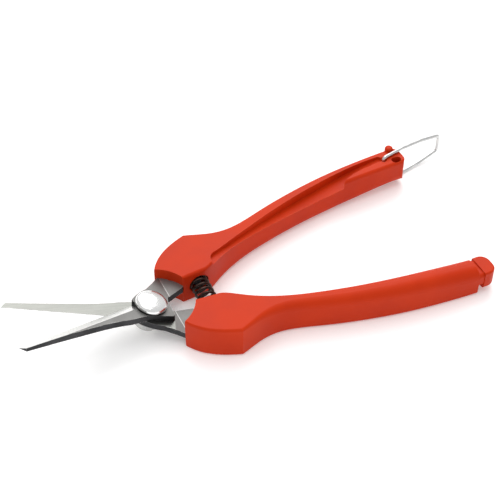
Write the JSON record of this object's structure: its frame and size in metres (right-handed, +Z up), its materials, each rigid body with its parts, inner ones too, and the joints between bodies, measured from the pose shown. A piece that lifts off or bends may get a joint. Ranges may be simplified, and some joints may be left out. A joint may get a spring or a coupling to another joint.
{
  "type": "pruning shears",
  "caption": "Spring-opened long-nose pruning snips with narrow raised blades, moulded handles and a wire bail that holds them shut.",
  "frame": {"origin": "bottom centre of the whole object's box, on the surface that the handles rest on", "axes": "+X from the blade tips towards the handle ends and the bail, +Y towards the handle that carries the bail, +Z up out of the surface that both handles lie on"},
  "size_m": [0.2114, 0.0832, 0.0264],
  "materials": {
    "blade_steel": "matte blasted flats, bright ground bevels, dark stamped edges",
    "handle_moulding": "fine satin moulding in orange red",
    "polished_bolt": "polished and plated dome",
    "dark_steel": "blackened",
    "plated_nut": "zinc plated",
    "nylon": "natural nylon",
    "spring_steel": "dark oiled spring wire",
    "bail_wire": "bright drawn wire"
  },
  "bodies": {
    "front_half": {"front_handle": "handle_moulding", "lower_blade": "blade_steel", "pivot_bolt": "polished_bolt", "head_washer": "dark_steel", "spring_washer": "dark_steel", "lock_nut": "plated_nut", "nut_locking_ring": "nylon", "return_spring": "spring_steel"},
    "back_half": {"back_handle": "handle_moulding", "upper_blade": "blade_steel"},
    "bail": {"wire_bail": "bail_wire"}
  },
  "joints": [
    {"name": "grip_close", "type": "hinge", "parent": "front_half", "child": "back_half", "pos_m": [-0.05213, -0.00097, 0.00935], "axis": [-0.284, 0, -0.9588], "range_deg": [0, 24], "stiffness_Nm_per_rad": 0.32, "deforming": ["return_spring"]},
    {"name": "bail_swing", "type": "hinge", "parent": "back_half", "child": "bail", "pos_m": [0.07211, 0.03383, 0.00718], "axis": [0, 0, -1], "range_deg": [0, 82]}
  ]
}
